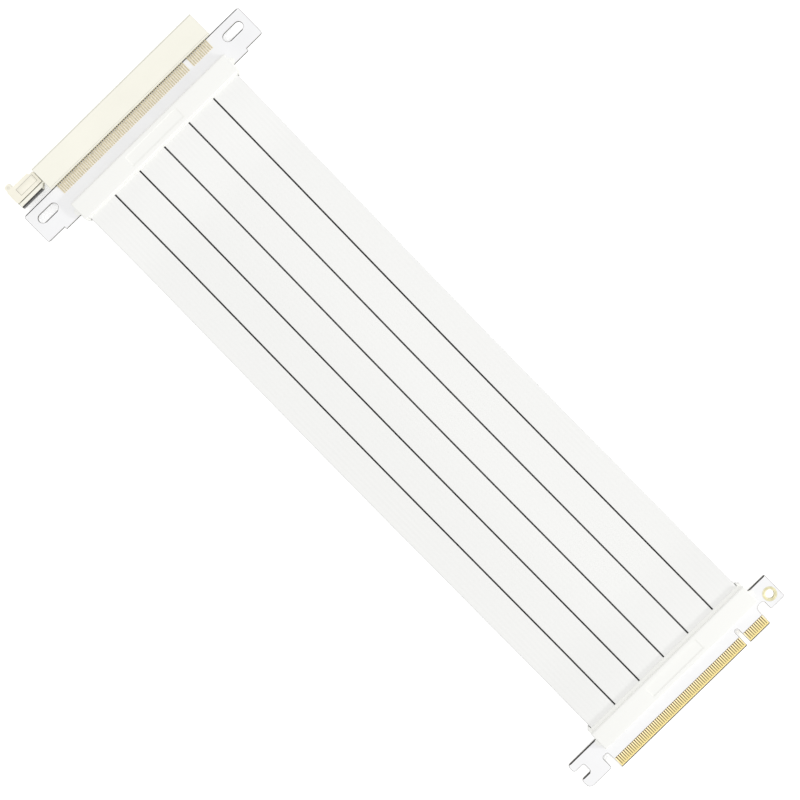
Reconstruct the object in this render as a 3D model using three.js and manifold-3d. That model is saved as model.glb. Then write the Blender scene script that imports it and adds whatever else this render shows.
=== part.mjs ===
// GPU riser cable: an edge-mount x16 card slot on a small board, twelve flat ribbons in two layers,
// and a plug board with gold fingers. Millimetres. +X runs from the slot to the plug, +Y is the side
// of the key, +Z is up. The origin lies on the surface that the cable rests on, under the middle.

import * as THREE from 'three';
import { mergeVertices } from 'three/addons/utils/BufferGeometryUtils.js';
import Module from 'manifold-3d';

// Contacts, alike in the slot and on the plug
const contactPitch = 1;
const contactsBeforeKey = 11;
const contactsAfterKey = 71;
const keyStep = 3;
const contactWidth = 0.5;
const contactThickness = 0.3;
const springReach = 6.2;
const carrierWidth = 1;
const carrierGap = 0.8;
const legReach = 4.55;

// Gold fingers
const fingerWidth = 0.7;
const fingerLength = 4.2;
const fingerThickness = 0.1;
const fingerBar = 0.6;

// Boards and the tongue of the plug
const boardThickness = 1.6;
const boardCorner = 1;
const stepCorner = 0.3;
const tongueMargin = 0.65;
const tongueLength = 8.6;
const tongueBevel = 0.5;
const tongueBevelDepth = 0.3;
const keyNotchWidth = 1.9;
const keyNotchLength = 8;
const tongueFlat = 0.05;
const plugShift = 1.37;

// How far a cutting tool runs past the face that it opens
const past = 1;

// Slot housing
const housingDepth = 11.25;
const housingHeight = 7.4;
const housingEnd = 3;
const housingChamfer = 0.5;
const slotWidth = 1.8;
const slotDepth = 7.8;
const slotLead = 0.6;
const slotEndRoom = 0.8;
const springPocket = 0.5;
const mouthWall = 1.3;
const keyClearance = 0.15;

// Latch lever at the end of the slot, and the arm that carries it
const latchThickness = 4.8;
const latchLength = 13.45;
const latchDepth = 6.45;
const latchAhead = 0.3;
const latchNeckDepth = 1.05;
const latchNeckLength = 1.8;
const latchTabReach = 2.3;
const latchTabLength = 3.25;
const latchHeel = 1.1;
const latchCorner = 0.2;
const tabCorner = 0.4;
const tabToe = 0.9;
const latchSkin = 0.4;
const latchGap = 0.3;
const armDepth = 2.25;
const armRootDepth = 0.65;
const cardGroove = 1.8;
const cardGrooveDepth = 4.25;
const lugRadius = 0.95;
const lugPlay = 0.2;
const pinRadius = 0.45;
const pinClearance = 0.1;

// Socket board
const socketBoardWidth = 120.6;
const socketBoardStep = 1.15;
const socketEarWidth = 9;
const boardShowing = 9.65;
const slottedHoleWidth = 3.8;
const slottedHoleLength = 10;
const slottedHoleEdge = 5.6;
const slottedHoleSide = 8.2;

// Ear and hooked tail of the plug board
const earSetback = 4;
const earNotch = 4.2;
const earWidth = 7.7;
const tailSetback = 2.85;
const tailNotch = 3.1;
const tailWidth = 12.5;
const tailSlotWidth = 4.35;
const tailSlotLength = 5.45;
const tailSlotSetback = 4.95;
const tailCorner = 2.4;
const prongCorner = 1.2;
const plugCorner = 0.6;
const leadCorner = 0.3;
const notchCorner = 0.9;
const earNotchCorner = 1.6;
const ringRadius = 3.05;
const ringHoleRadius = 1.85;
const ringWall = 0.15;
const ringSetback = 8.8;
const ringSide = 8;

// Overmoulds
const moldDepth = 8.8;
const moldHeight = 6.4;
const moldWall = 1.575;
const moldChamfer = 0.6;
const boardInside = 5.7;
const boardGap = 0.1;
const chamberStart = 1.9;
const panelLength = 28.6;
const panelDepth = 5;
const panelSunk = 0.3;
const socketLip = 1.3;
const plugLip = 2.5;
const lipCorner = 1.2;
const anchorRadius = 1.35;
const anchorInset = 4;
const tongueShowing = 10.2;

// Ribbons
const ribbonCount = 6;
const ribbonWidth = 13.2;
const ribbonGap = 0.65;
const ribbonThickness = 1;
const layerGap = 0.3;
const ribbonClearance = 0.3;
const ribbonSpan = 291.6;
const ribbonEndGap = 0.8;
const floorGap = 0.02;
const wirePairs = 7;
const wireWidth = 0.9;
const wireThickness = 0.25;
const wireRoot = 0.5;
const wireReach = 3.1;

// Way down from an overmould to the surface, chosen by hand, alike at both ends: the distance from
// the overmould's face, and the height there as a share of the drop.
const ribbonFall = [
  [2.8, 1], [5.5, 0.982], [8.5, 0.92], [11.5, 0.825], [15, 0.685], [19, 0.5], [23, 0.315],
  [26.5, 0.175], [29.5, 0.08], [32.5, 0.018], [35.5, 0],
];
const ribbonRests = [75, 112, 146, 180, 217];

// Heights
const socketMiddle = housingHeight / 2;
const plugMiddle = moldHeight / 2;
const halfBoard = boardThickness / 2;
const ribbonStack = 2 * ribbonThickness + layerGap;
const ribbonFloor = ribbonStack / 2 + floorGap;
const channelHalf = ribbonStack / 2 + ribbonClearance;

// Places along X, from the mouth of the slot
const socketMoldX = housingDepth + boardShowing;
const socketMoldEndX = socketMoldX + moldDepth;
const socketBoardEndX = socketMoldX + boardInside;
const socketEarEndX = socketBoardEndX - socketBoardStep;
const plugMoldX = socketMoldEndX + ribbonSpan;
const plugMoldEndX = plugMoldX + moldDepth;
const plugBoardX = plugMoldEndX - boardInside;
const tipX = plugMoldEndX + tongueShowing;
const latchRearX = latchDepth - latchAhead;
const armX = latchRearX + latchGap;
const notchFloorX = tipX - tongueLength;

// Places along Y
const contactSpan = (contactsBeforeKey + contactsAfterKey - 2) * contactPitch + keyStep;
const keyY = contactSpan / 2 - (contactsBeforeKey - 1) * contactPitch - keyStep / 2;
const housingHalf = contactSpan / 2 + housingEnd;
const slotHalf = contactSpan / 2 + slotEndRoom;
const tongueTop = contactSpan / 2 + tongueMargin - plugShift;
const tongueBottom = -contactSpan / 2 - tongueMargin - plugShift;
const earBottom = tongueTop + earNotch;
const earTop = earBottom + earWidth;
const tailTop = tongueBottom - tailNotch;
const tailBottom = tailTop - tailWidth;
const packHalf = (ribbonCount * ribbonWidth + (ribbonCount - 1) * ribbonGap) / 2;
const channelSide = packHalf + ribbonClearance;
const moldHalf = channelSide + moldWall;
const latchTop = -housingHalf - latchGap;
const latchBottom = latchTop - latchLength;

const wasm = await Module();
wasm.setup();

function solid(geometry) {
  const bare = geometry.clone();
  bare.deleteAttribute('normal');
  bare.deleteAttribute('uv');
  const merged = mergeVertices(bare, 1e-5);
  return new wasm.Manifold(new wasm.Mesh({
    numProp: 3,
    vertProperties: new Float32Array(merged.attributes.position.array),
    triVerts: new Uint32Array(merged.index.array),
  }));
}

function fromSolid(body) {
  const mesh = body.getMesh();
  const geometry = new THREE.BufferGeometry();
  geometry.setAttribute('position', new THREE.BufferAttribute(new Float32Array(mesh.vertProperties), 3));
  geometry.setIndex(new THREE.BufferAttribute(new Uint32Array(mesh.triVerts), 1));
  geometry.computeVertexNormals();
  return geometry;
}

function join(...geometries) {
  return fromSolid(geometries.map(solid).reduce((whole, next) => whole.add(next)));
}

function cut(geometry, ...tools) {
  return fromSolid(tools.map(solid).reduce((left, tool) => left.subtract(tool), solid(geometry)));
}

// A box between two corners, given in any order.
function block(x1, x2, y1, y2, z1, z2) {
  const box = new THREE.BoxGeometry(Math.abs(x2 - x1), Math.abs(y2 - y1), Math.abs(z2 - z1));
  return box.translate((x1 + x2) / 2, (y1 + y2) / 2, (z1 + z2) / 2);
}

// A closed outline through corners [x, y, radius], each radius an arc that meets both its sides.
function outline(corners) {
  const shape = new THREE.Shape();
  corners.forEach(([x, y, radius], i) => {
    const corner = new THREE.Vector2(x, y);
    const back = new THREE.Vector2(...corners.at(i - 1)).sub(corner).normalize();
    const ahead = new THREE.Vector2(...corners[(i + 1) % corners.length]).sub(corner).normalize();
    const half = back.angleTo(ahead) / 2;
    const start = back.clone().multiplyScalar(radius / Math.tan(half)).add(corner);
    if (i === 0) shape.moveTo(start.x, start.y);
    else shape.lineTo(start.x, start.y);
    if (radius === 0) return;
    const end = ahead.clone().multiplyScalar(radius / Math.tan(half)).add(corner);
    const centre = back.clone().add(ahead).normalize().multiplyScalar(radius / Math.sin(half)).add(corner);
    shape.absarc(
      centre.x, centre.y, radius,
      start.sub(centre).angle(), end.sub(centre).angle(), ahead.cross(back) < 0,
    );
  });
  return shape;
}

// A rectangle round a centre, with its corners turned: a circle or a slot when the radius is half its width.
function rounded(x, y, sizeX, sizeY, radius) {
  const right = sizeX / 2;
  const top = sizeY / 2;
  return outline([
    [x - right, y - top, radius], [x + right, y - top, radius],
    [x + right, y + top, radius], [x - right, y + top, radius],
  ]);
}

// A plate with its outline in X and Y.
function plate(shape, low, high, curveSegments = 2) {
  const options = { depth: high - low, bevelEnabled: false, curveSegments };
  return new THREE.ExtrudeGeometry(shape, options).translate(0, 0, low);
}

// A bar along Y with its outline in X and Z.
function bar(shape, y1, y2) {
  const options = { depth: y2 - y1, bevelEnabled: false, curveSegments: 2 };
  return new THREE.ExtrudeGeometry(shape, options).rotateX(Math.PI / 2).translate(0, y2, 0);
}

// An outline in X and Z: a rectangle with its four corners cut at 45 degrees.
function chamfered(x1, x2, z1, z2, chamfer) {
  return outline([
    [x1 + chamfer, z1, 0], [x2 - chamfer, z1, 0], [x2, z1 + chamfer, 0], [x2, z2 - chamfer, 0],
    [x2 - chamfer, z2, 0], [x1 + chamfer, z2, 0], [x1, z2 - chamfer, 0], [x1, z1 + chamfer, 0],
  ]);
}

// The contacts' places along Y, from the key's side on: those before the key, then those after it.
function contactRows() {
  const first = contactSpan / 2;
  const second = keyY - keyStep / 2;
  return [
    Array.from({ length: contactsBeforeKey }, (_, i) => first - i * contactPitch),
    Array.from({ length: contactsAfterKey }, (_, i) => second - i * contactPitch),
  ];
}

// The teeth of a comb that point along X from its back at backX to reachX, as corners going down Y.
function teeth(places, backX, reachX, width) {
  return places.flatMap((y) => [
    [backX, y + width / 2, 0], [reachX, y + width / 2, 0],
    [reachX, y - width / 2, 0], [backX, y - width / 2, 0],
  ]);
}

const finishes = {
  housing: { color: 0xf8f6e8, roughness: 0.45, metalness: 0 },
  latch: { color: 0xf1ead2, roughness: 0.5, metalness: 0 },
  steel: { color: 0xb8b8b4, roughness: 0.35, metalness: 1 },
  contacts: { color: 0xd9c49a, roughness: 0.35, metalness: 0.8 },
  board: { color: 0xf3f3f5, roughness: 0.4, metalness: 0 },
  overmould: { color: 0xf6f5ef, roughness: 0.55, metalness: 0 },
  ribbon: { color: 0xf5f5f3, roughness: 0.5, metalness: 0 },
  copper: { color: 0xc98a56, roughness: 0.4, metalness: 0.9 },
  gold: { color: 0xe8bd3c, roughness: 0.25, metalness: 0.9 },
};

const group = new THREE.Group();

function add(name, geometry, finish) {
  const mesh = new THREE.Mesh(geometry, new THREE.MeshStandardMaterial(finishes[finish]));
  mesh.name = name;
  group.add(mesh);
}

// Slot housing: a moulded bar with a card slot, a key rib left standing in it, a pocket behind each
// row of springs, a slit for each row of legs, and the arm and lug that carry the latch.
function slotHousing() {
  const body = bar(chamfered(0, housingDepth, 0, housingHeight, housingChamfer), -housingHalf, housingHalf);
  const halfSlot = slotWidth / 2;
  const slotProfile = outline([
    [-slotLead, -halfSlot - 2 * slotLead, 0], [slotLead, -halfSlot, 0], [mouthWall, -halfSlot, 0],
    [mouthWall, -halfSlot - springPocket, 0], [slotDepth, -halfSlot - springPocket, 0],
    [slotDepth, halfSlot + springPocket, 0], [mouthWall, halfSlot + springPocket, 0],
    [mouthWall, halfSlot, 0], [slotLead, halfSlot, 0], [-slotLead, halfSlot + 2 * slotLead, 0],
  ]);
  const keyHalf = keyNotchWidth / 2 - keyClearance;
  const shortSlot = bar(slotProfile, keyY + keyHalf, slotHalf).translate(0, 0, socketMiddle);
  const longSlot = bar(slotProfile, -slotHalf, keyY - keyHalf).translate(0, 0, socketMiddle);
  const legSlits = [-1, 1].map((side) => block(
    slotDepth - past, housingDepth + past, -slotHalf, slotHalf,
    socketMiddle + side * (halfBoard - pinClearance),
    socketMiddle + side * (halfSlot + springPocket),
  ));
  const halfLatch = latchThickness / 2;
  const arm = plate(outline([
    [armX, -housingHalf + past, 0], [armX + armRootDepth, -housingHalf + past, 0],
    [armX + armRootDepth, latchTop - latchGap, 0],
    [armX + armDepth, latchTop - latchGap - armDepth + armRootDepth, 0],
    [armX + armDepth, latchBottom + latchGap, latchCorner], [armX, latchBottom + latchGap, 0],
  ]), socketMiddle - halfLatch, socketMiddle + halfLatch);
  const pivot = latchPivot();
  const lugBody = outline([
    [pivot.x - lugRadius, pivot.y - lugRadius, lugRadius], [armX + past, pivot.y - lugRadius, 0],
    [armX + past, pivot.y + lugRadius, 0], [pivot.x - lugRadius, pivot.y + lugRadius, lugRadius],
  ]);
  const halfLug = cardGroove / 2 - lugPlay;
  const lug = plate(lugBody, socketMiddle - halfLug, socketMiddle + halfLug, 3);
  const pinHole = pinSolid(pinRadius + pinClearance, latchThickness);
  return cut(join(body, arm, lug), shortSlot, longSlot, ...legSlits, pinHole);
}

function latchPivot() {
  return new THREE.Vector2(latchRearX - latchHeel, latchBottom + latchHeel);
}

// A cylinder on the latch's axis.
function pinSolid(radius, length) {
  const pivot = latchPivot();
  const pin = new THREE.CylinderGeometry(radius, radius, length, 16).rotateX(Math.PI / 2);
  return pin.translate(pivot.x, pivot.y, socketMiddle);
}

// Latch lever: its tab stands ahead of the slot's mouth at the far end, its heel turns about the
// pin, and a groove along its middle takes the tail of a card.
function slotLatch() {
  const frontX = -latchAhead;
  const neckBottom = latchTop - latchNeckLength;
  const tabTop = latchBottom + latchTabLength;
  const tabBottom = latchBottom + latchSkin;
  const lever = plate(outline([
    [frontX + latchNeckDepth, latchTop, latchCorner], [frontX + latchNeckDepth, neckBottom, latchCorner],
    [frontX, neckBottom - latchSkin, latchCorner], [frontX, tabTop, latchCorner],
    [frontX - latchTabReach, tabTop, tabCorner], [frontX - latchTabReach, tabBottom, tabToe],
    [frontX, tabBottom, 0], [frontX + latchSkin, latchBottom, latchCorner],
    [latchRearX, latchBottom, latchHeel], [latchRearX, latchTop, latchCorner],
  ]), socketMiddle - latchThickness / 2, socketMiddle + latchThickness / 2);
  const low = socketMiddle - cardGroove / 2;
  const high = socketMiddle + cardGroove / 2;
  const grooveX = frontX + cardGrooveDepth;
  const openGroove = block(frontX - past, grooveX, latchTop + past, tabTop, low, high);
  const tabGroove = block(frontX, grooveX, tabTop + past, latchBottom + 2 * latchSkin, low, high);
  const lugPocket = block(
    latchPivot().x - lugRadius - latchGap, latchRearX + past,
    latchPivot().y + lugRadius + latchGap, latchBottom - past, low, high,
  );
  const pinHole = pinSolid(pinRadius + pinClearance, latchThickness - 2 * latchSkin);
  return cut(lever, openGroove, tabGroove, lugPocket, pinHole);
}

// A row of slot contacts: springs towards the mouth, legs out over the board, and the strip that
// joins them inside the housing.
function slotContacts(side) {
  const frontX = slotDepth + carrierGap;
  const backX = frontX + carrierWidth;
  const places = contactRows().flat();
  const legs = teeth(places, backX, housingDepth + legReach, contactWidth);
  const springs = teeth(places, frontX, frontX - springReach, contactWidth).reverse();
  const inner = socketMiddle + side * halfBoard;
  const outer = inner + side * contactThickness;
  return plate(outline([...legs, ...springs]), Math.min(inner, outer), Math.max(inner, outer));
}

// Socket board: two slotted ears beside the slot, and a deeper middle that ends in the overmould.
function socketBoard() {
  const side = socketBoardWidth / 2;
  const step = side - socketEarWidth;
  const shape = outline([
    [housingDepth, -side, boardCorner], [socketEarEndX, -side, boardCorner],
    [socketEarEndX, -step, 0], [socketBoardEndX, -step, stepCorner],
    [socketBoardEndX, step, stepCorner], [socketEarEndX, step, 0],
    [socketEarEndX, side, boardCorner], [housingDepth, side, boardCorner],
  ]);
  const holeY = side - slottedHoleSide;
  for (const y of [-holeY, holeY]) {
    shape.holes.push(rounded(
      housingDepth + slottedHoleEdge, y, slottedHoleWidth, slottedHoleLength, slottedHoleWidth / 2,
    ));
  }
  for (const y of [-moldHalf, moldHalf]) {
    shape.holes.push(anchorHole(socketMoldX + anchorInset, y));
  }
  return plate(shape, socketMiddle - halfBoard, socketMiddle + halfBoard);
}

// A hole at the overmould's side, half under it, where the moulding grips the board.
function anchorHole(x, y) {
  return rounded(x, y, 2 * anchorRadius, 2 * anchorRadius, anchorRadius);
}

// Plug board: a bevelled tongue with its key notch, an ear with a ringed hole, and a hooked tail.
function plugBoard() {
  const earX = tipX - earSetback;
  const tailX = tipX - tailSetback;
  const slotRightX = tailX - tailSlotSetback;
  const slotLeftX = slotRightX - tailSlotWidth;
  const slotFloorY = tailBottom + tailSlotLength;
  const notchY = keyY - plugShift;
  const halfKey = keyNotchWidth / 2;
  const keyCorner = halfKey - tongueFlat;
  const keyX = tipX - keyNotchLength;
  const shape = outline([
    [plugBoardX, earTop, plugCorner], [earX, earTop, plugCorner], [earX, earBottom, plugCorner],
    [notchFloorX, earBottom, notchCorner], [notchFloorX, tongueTop, earNotchCorner],
    [tipX, tongueTop, plugCorner], [tipX, notchY + halfKey, leadCorner],
    [keyX, notchY + halfKey, keyCorner], [keyX, notchY - halfKey, keyCorner],
    [tipX, notchY - halfKey, leadCorner], [tipX, tongueBottom, plugCorner],
    [notchFloorX, tongueBottom, notchCorner], [notchFloorX, tailTop, notchCorner],
    [tailX, tailTop, plugCorner], [tailX, tailBottom, tailCorner],
    [slotRightX, tailBottom, prongCorner], [slotRightX, slotFloorY, notchCorner],
    [slotLeftX, slotFloorY, notchCorner], [slotLeftX, tailBottom, prongCorner],
    [plugBoardX, tailBottom, prongCorner],
  ]);
  const sleeve = ringHoleRadius + ringWall + 2 * pinClearance;
  shape.holes.push(rounded(tipX - ringSetback, tongueTop + ringSide, 2 * sleeve, 2 * sleeve, sleeve));
  for (const y of [-moldHalf, moldHalf]) {
    shape.holes.push(anchorHole(plugMoldEndX - anchorInset, y));
  }
  const board = plate(shape, plugMiddle - halfBoard, plugMiddle + halfBoard);
  const bevels = [-1, 1].map((side) => bar(outline([
    [tipX - tongueBevel, plugMiddle + side * halfBoard, 0],
    [tipX + tongueBevel, plugMiddle + side * (halfBoard - 2 * tongueBevelDepth), 0],
    [tipX + tongueBevel, plugMiddle + side * (halfBoard + past), 0],
    [tipX - tongueBevel, plugMiddle + side * (halfBoard + past), 0],
  ]), tongueBottom - past, tongueTop + past));
  return cut(board, ...bevels);
}

// One group of gold fingers on a face of the tongue, joined along their tips as plated.
function goldFingers(row, side) {
  const places = row.map((y) => y - plugShift);
  const frontX = tipX - tongueBevel;
  const backX = frontX - fingerBar;
  const pads = teeth(places, backX, frontX - fingerLength, fingerWidth);
  const edge = fingerWidth / 2;
  const shape = outline([
    [frontX, places.at(-1) - edge, 0], [frontX, places[0] + edge, 0], ...pads.slice(1, -1),
  ]);
  const inner = plugMiddle + side * halfBoard;
  const outer = inner + side * fingerThickness;
  return plate(shape, Math.min(inner, outer), Math.max(inner, outer));
}

// Plated ring of the ear's hole: a sleeve through the board with a flat collar on each face.
function holeRing() {
  const sleeve = ringHoleRadius + ringWall;
  const face = halfBoard + fingerThickness;
  const profile = [
    [ringHoleRadius, -face], [ringRadius, -face], [ringRadius, -halfBoard], [sleeve, -halfBoard],
    [sleeve, halfBoard], [ringRadius, halfBoard], [ringRadius, face], [ringHoleRadius, face],
    [ringHoleRadius, -face],
  ].map(([radius, height]) => new THREE.Vector2(radius, height));
  const ring = new THREE.LatheGeometry(profile, 24).rotateX(Math.PI / 2);
  return ring.translate(tipX - ringSetback, tongueTop + ringSide, plugMiddle);
}

// Overmould over a board's end. The board lies in a slit through its sides, and the wires and
// ribbons in a channel that opens to the cable's side, over a lip. Towards is 1 where the cable
// leaves along +X and -1 where it leaves along -X.
function overmould(faceX, towards, middle, lip) {
  const cableX = faceX + towards * moldDepth;
  const lipX = cableX + towards * lip;
  const low = middle - moldHeight / 2;
  const high = middle + moldHeight / 2;
  const body = bar(
    chamfered(Math.min(faceX, cableX), Math.max(faceX, cableX), low, high, moldChamfer),
    -moldHalf, moldHalf,
  );
  const tray = plate(outline([
    [cableX - towards * lipCorner, -moldHalf, 0], [lipX - towards * lipCorner, -moldHalf, 0],
    [lipX, -moldHalf + lipCorner, 0], [lipX, moldHalf - lipCorner, 0],
    [lipX - towards * lipCorner, moldHalf, 0], [cableX - towards * lipCorner, moldHalf, 0],
  ]), low + moldChamfer, middle + ribbonStack / 2);
  const slit = block(
    faceX - towards * past, faceX + towards * (boardInside + boardGap), -moldHalf - past, moldHalf + past,
    middle - halfBoard, middle + halfBoard,
  );
  const channel = block(
    faceX + towards * chamberStart, lipX + towards * past, -channelSide, channelSide,
    middle - channelHalf, middle + channelHalf,
  );
  const panel = block(
    faceX + towards * (moldDepth - panelDepth) / 2, faceX + towards * (moldDepth + panelDepth) / 2,
    -panelLength / 2, panelLength / 2, high - panelSunk, high + past,
  );
  return cut(join(body, tray), slit, channel, panel);
}

// The ribbons' way in X and Z, halfway between the two layers, from board to board.
function ribbonWay() {
  const startX = socketBoardEndX + ribbonEndGap;
  const endX = plugBoardX - ribbonEndGap;
  const fall = (share, middle) => ribbonFloor + share * (middle - ribbonFloor);
  return [
    [startX, socketMiddle],
    ...ribbonFall.map(([away, share]) => [socketMoldEndX + away, fall(share, socketMiddle)]),
    ...ribbonRests.map((away) => [socketMoldEndX + away, ribbonFloor]),
    ...ribbonFall.map(([away, share]) => [plugMoldX - away, fall(share, plugMiddle)]).reverse(),
    [endX, plugMiddle],
  ];
}

// One flat ribbon: the way with the ribbon's thickness, carried across its width.
function ribbon(y, layer) {
  const centre = layer * (layerGap + ribbonThickness) / 2;
  const half = ribbonThickness / 2;
  const way = ribbonWay();
  const under = way.map(([x, z]) => [x, z + centre - half, 0]);
  const over = way.map(([x, z]) => [x, z + centre + half, 0]).reverse();
  return bar(outline([...under, ...over]), y - ribbonWidth / 2, y + ribbonWidth / 2);
}

// The bare wire pairs of one ribbon's end, soldered down on a face of the board. Towards points
// from the ribbon's end to the board.
function wirePads(endX, towards, y, middle, layer) {
  const pitch = ribbonWidth / wirePairs;
  const places = Array.from({ length: wirePairs }, (_, i) => y + ((wirePairs - 1) / 2 - i) * pitch);
  const rootX = endX + towards * pinClearance;
  const backX = rootX + towards * wireRoot;
  const pads = teeth(places, backX, backX + towards * wireReach, wireWidth);
  const edge = wireWidth / 2;
  const shape = outline([
    [rootX, places.at(-1) - edge, 0], [rootX, places[0] + edge, 0], ...pads.slice(1, -1),
  ]);
  const inner = middle + layer * halfBoard;
  const outer = inner + layer * wireThickness;
  return plate(shape, Math.min(inner, outer), Math.max(inner, outer));
}

add('slot_housing', slotHousing(), 'housing');
add('slot_latch', slotLatch(), 'latch');
add('latch_pin', pinSolid(pinRadius, latchThickness - 3 * latchSkin), 'steel');
add('socket_board', socketBoard(), 'board');
add('socket_overmould', overmould(socketMoldX, 1, socketMiddle, socketLip), 'overmould');
add('plug_overmould', overmould(plugMoldEndX, -1, plugMiddle, plugLip), 'overmould');
add('plug_board', plugBoard(), 'board');
add('plug_hole_ring', holeRing(), 'gold');

const [shortRow, longRow] = contactRows();
for (const [name, side] of [['upper', 1], ['lower', -1]]) {
  add(`${name}_slot_contacts`, slotContacts(side), 'contacts');
  add(`${name}_short_fingers`, goldFingers(shortRow, side), 'gold');
  add(`${name}_long_fingers`, goldFingers(longRow, side), 'gold');
  for (let i = 0; i < ribbonCount; i += 1) {
    const y = ((ribbonCount - 1) / 2 - i) * (ribbonWidth + ribbonGap);
    const socketEndX = socketBoardEndX + ribbonEndGap;
    const plugEndX = plugBoardX - ribbonEndGap;
    add(`${name}_ribbon_${i + 1}`, ribbon(y, side), 'ribbon');
    add(`${name}_socket_wires_${i + 1}`, wirePads(socketEndX, -1, y, socketMiddle, side), 'copper');
    add(`${name}_plug_wires_${i + 1}`, wirePads(plugEndX, 1, y, plugMiddle, side), 'copper');
  }
}

group.position.x = (latchAhead + latchTabReach - tipX) / 2;

export default group;
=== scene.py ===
"""White GPU riser cable: an ivory card slot on a small board, two layers of flat ribbons, and a plug
board with gold fingers. +X runs from the slot to the plug, +Y is the side of the key, +Z is up."""

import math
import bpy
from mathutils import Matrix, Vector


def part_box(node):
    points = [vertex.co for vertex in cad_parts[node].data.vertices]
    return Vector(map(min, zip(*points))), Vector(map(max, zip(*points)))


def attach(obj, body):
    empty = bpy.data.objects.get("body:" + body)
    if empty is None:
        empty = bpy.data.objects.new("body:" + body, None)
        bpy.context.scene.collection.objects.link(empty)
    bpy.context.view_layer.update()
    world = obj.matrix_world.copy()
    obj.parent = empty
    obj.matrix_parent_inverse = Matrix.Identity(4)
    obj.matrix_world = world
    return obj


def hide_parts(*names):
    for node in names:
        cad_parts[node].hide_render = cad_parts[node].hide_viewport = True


bl_info = {
    "name": "GPU riser cable",
    "version": (1, 0, 0),
    "blender": (4, 5, 0),
    "location": "View3D > Sidebar > Riser cable",
    "description": "Dresses the riser cable's solids with ribbons, contacts, mouldings and finishes",
    "category": "Add Mesh",
}

import bmesh
import bpy
import numpy as np
from bpy.props import FloatProperty, FloatVectorProperty, PointerProperty

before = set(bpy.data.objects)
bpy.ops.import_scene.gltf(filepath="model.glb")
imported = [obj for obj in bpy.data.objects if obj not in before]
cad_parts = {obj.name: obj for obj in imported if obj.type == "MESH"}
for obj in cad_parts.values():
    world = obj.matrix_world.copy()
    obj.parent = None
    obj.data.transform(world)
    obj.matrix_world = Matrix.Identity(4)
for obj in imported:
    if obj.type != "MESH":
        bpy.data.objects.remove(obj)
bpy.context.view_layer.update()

MM = 0.001

# Contacts of the card edge: a row before the key and a row after it
CONTACT_PITCH = 1 * MM
CONTACTS_BEFORE_KEY = 11
CONTACTS_AFTER_KEY = 71
KEY_STEP = 3 * MM

# Degrees from which an edge is sharp
CREASE = 35

# Gold fingers: their length, and how far they end short of the tongue's tip
FINGER_LENGTH = 4.2 * MM
FINGER_INSET = 0.5 * MM

HALF_BOARD = 0.8 * MM

# Ribbons: each layer's middle is off the line midway between the layers
LAYERS = (("upper", 1), ("lower", -1))
LAYER_OFFSET = 0.65 * MM
RIBBONS = 6
RIBBON_THICKNESS = 1 * MM
HALF_STACK = LAYER_OFFSET + RIBBON_THICKNESS / 2
RIDGES = 7
# The ribbons along the cable's own sides, and which side it is
OUTERMOST = {1: 1, RIBBONS: -1}
# Share of the near-black fin, painted shade of the gaps between ribbons, that stands out there
OUTER_GAP_SHADE = 0.2

# Distance in mm from an overmould's face, and the height there as a share of the drop to the surface
RIBBON_FALL = np.array([
    [2.8, 1], [5.5, 0.982], [8.5, 0.92], [11.5, 0.825], [15, 0.685], [19, 0.5], [23, 0.315],
    [26.5, 0.175], [29.5, 0.08], [32.5, 0.018], [35.5, 0],
])
# Points of the stretch that lies on the surface, from the slot's overmould on
RIBBON_RESTS = np.array([75, 112, 146, 180, 217]) * MM
RIBBON_START, RIBBON_END = -141.45 * MM, 154.75 * MM
# Height of the midway line there
RIBBON_FLOOR = 1.17 * MM

# Overmoulds: depth along the cable, sunken panel, the anchor holes' distance from the far side, how
# far lip and floor end short of the block's ends, and the floor's height over the block's underside
MOULD_DEPTH = 8.8 * MM
PANEL_WIDTH, PANEL_LENGTH = 5 * MM, 28.6 * MM
ANCHOR_INSET = 4 * MM
SHOULDER = 1.5 * MM
FOOT = 0.6 * MM

# The camera, the lamps and the floor, which lies a little below the part
VIEW_PLACE = (-0.028629, 0.007662, 0.903434)
VIEW_TURNS = (-1.847, -0.8081, 45.6348)
VIEW_LENS = 100.035
KEY_LAMP_PLACE, KEY_LAMP_SIZE = (2.2, 1.9, 1.03), 0.25
TOP_LAMP_PLACE, TOP_LAMP_SIZE = (0.2, -0.2, 3.2), 2.4
FLOOR_REACH = 4
FLOOR_DROP = 0.05 * MM
FLOOR_LIFT = 0.5

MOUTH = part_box("slot_housing")[0].x
SOCKET_MIDDLE = sum(corner.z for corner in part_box("socket_board")) / 2
PLUG_MIDDLE = sum(corner.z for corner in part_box("plug_board")) / 2
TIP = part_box("plug_board")[1].x
SOCKET_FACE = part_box("socket_overmould")[0].x + MOULD_DEPTH
PLUG_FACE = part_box("plug_overmould")[1].x - MOULD_DEPTH


def shade(code):
    """The linear colour of a six-figure screen colour: each part is divided by 255 and raised with
    the screen's own curve."""
    parts = np.array([int(code[i:i + 2], 16) for i in (0, 2, 4)]) / 255
    return tuple(np.where(parts <= 0.04045, parts / 12.92, ((parts + 0.055) / 1.055) ** 2.4).tolist())


def length(name, description, default):
    return FloatProperty(
        name=name, description=description, default=default * MM, min=0, precision=5,
        subtype="DISTANCE", unit="LENGTH",
    )


def colour(name, description, code):
    return FloatVectorProperty(
        name=name, description=description, default=shade(code), min=0, max=1, size=3, subtype="COLOR",
    )


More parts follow.
